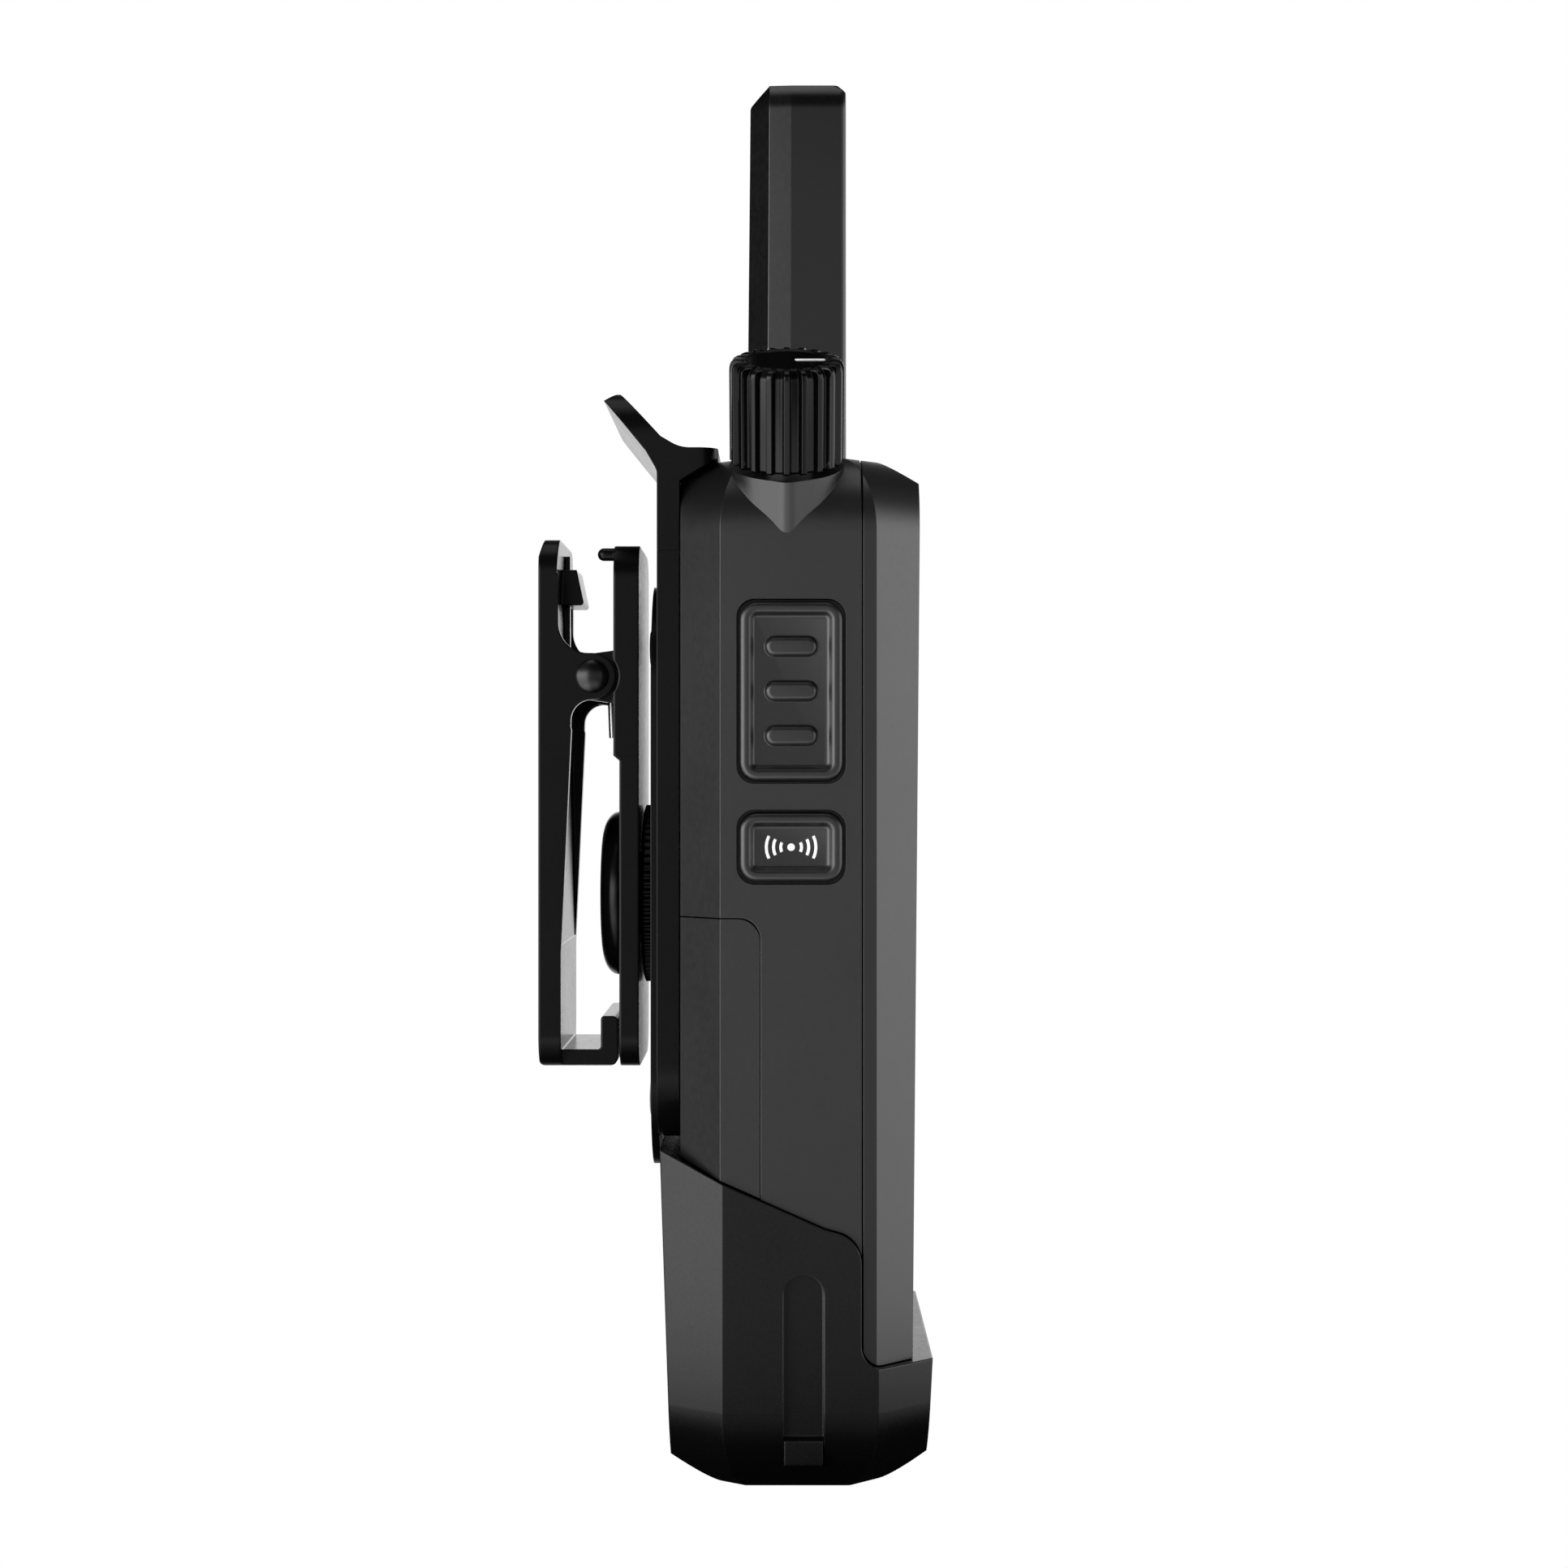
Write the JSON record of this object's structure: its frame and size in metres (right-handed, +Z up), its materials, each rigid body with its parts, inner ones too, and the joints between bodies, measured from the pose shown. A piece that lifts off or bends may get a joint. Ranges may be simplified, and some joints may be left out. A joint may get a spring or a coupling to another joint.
{
  "type": "walkie talkie",
  "caption": "Hand-held two-way radio with a leaning ribbed volume knob, blade antenna, sprung side buttons and a swivelling sprung belt clip.",
  "frame": {"origin": "centre of the flat bottom face the radio stands on", "axes": "+Z up along the height, -Y out of the front (speaker side), -X out of the talk-button side"},
  "size_m": [0.0629, 0.0453, 0.1664],
  "materials": {
    "casing": "fine matt grain",
    "boot": "fine matt grain, slightly softer",
    "antenna": "satin moulded",
    "knob": "satin moulded",
    "button": "matt moulded rubber",
    "key": "matt moulded rubber",
    "clip": "satin moulded nylon",
    "holster": "satin moulded nylon",
    "mark": "printed white",
    "lens": "clear window",
    "display": "display panel",
    "lamp": "clear moulded",
    "black_steel": "blackened, satin",
    "steel": "plated",
    "screen_metal": "folded sheet",
    "contact": "plated",
    "board": "solder mask",
    "inner_plastic": "moulded",
    "wrap": "shrink wrap",
    "cloth": "woven",
    "gasket": "moulded"
  },
  "bodies": {
    "radio": {"front_cover": "casing", "rear_housing": "casing", "bottom_boot": "boot", "battery_door": "casing", "battery_pack": "wrap", "battery_contacts": "contact", "charge_contacts": "contact", "main_board": "board", "shield_can": "screen_metal", "speaker": "inner_plastic", "speaker_cloth": "cloth", "microphone": "inner_plastic", "display_module": "display", "display_lens": "lens", "key_switches": "board", "status_lamp": "lamp", "seal_gasket": "gasket", "housing_screws": "steel", "antenna_cover": "antenna", "antenna_element": "contact", "antenna_base": "inner_plastic", "volume_encoder": "screen_metal", "ptt_switch": "board", "call_switch": "board", "holster_plate": "holster", "swivel_pad": "holster", "pad_screws": "steel", "swivel_hub": "clip", "swivel_head": "clip", "swivel_screw": "steel"},
    "knob": {"knob_cap": "knob", "knob_shaft": "steel", "knob_pointer": "mark"},
    "ptt": {"ptt_button": "button"},
    "call": {"call_button": "button"},
    "menu": {"menu_key": "key"},
    "up": {"up_key": "key"},
    "down": {"down_key": "key"},
    "latch": {"latch_lever": "holster"},
    "clip_mount": {"clip_base": "clip", "hinge_pin": "black_steel", "clip_spring": "steel"},
    "arm": {"clip_arm": "clip"}
  },
  "joints": [
    {"name": "knob_turn", "type": "hinge", "parent": "radio", "child": "knob", "pos_m": [-0.02385, 0.0014, 0.116], "axis": [-0.3746, 0, 0.9272], "range_deg": [-140, 140]},
    {"name": "ptt_press", "type": "slide", "parent": "radio", "child": "ptt", "axis": [1, 0, 0], "range_m": [0, 0.0007], "stiffness_N_per_m": 4000},
    {"name": "call_press", "type": "slide", "parent": "radio", "child": "call", "axis": [1, 0, 0], "range_m": [0, 0.0006], "stiffness_N_per_m": 4000},
    {"name": "menu_press", "type": "slide", "parent": "radio", "child": "menu", "axis": [0, 1, 0], "range_m": [0, 0.0005], "stiffness_N_per_m": 3000},
    {"name": "up_press", "type": "slide", "parent": "radio", "child": "up", "axis": [0, 1, 0], "range_m": [0, 0.0005], "stiffness_N_per_m": 3000},
    {"name": "down_press", "type": "slide", "parent": "radio", "child": "down", "axis": [0, 1, 0], "range_m": [0, 0.0005], "stiffness_N_per_m": 3000},
    {"name": "latch_flex", "type": "hinge", "parent": "radio", "child": "latch", "pos_m": [0, 0.0161, 0.1062], "axis": [-1, 0, 0], "range_deg": [0, 8], "stiffness_Nm_per_rad": 2},
    {"name": "clip_swivel", "type": "hinge", "parent": "radio", "child": "clip_mount", "pos_m": [0, 0.0185, 0.0666], "axis": [0, 1, 0], "continuous": true},
    {"name": "clip_squeeze", "type": "hinge", "parent": "clip_mount", "child": "arm", "pos_m": [0, 0.02395, 0.0922], "axis": [1, 0, 0], "range_deg": [0, 14], "stiffness_Nm_per_rad": 0.4, "springref_deg": -8.59}
  ]
}
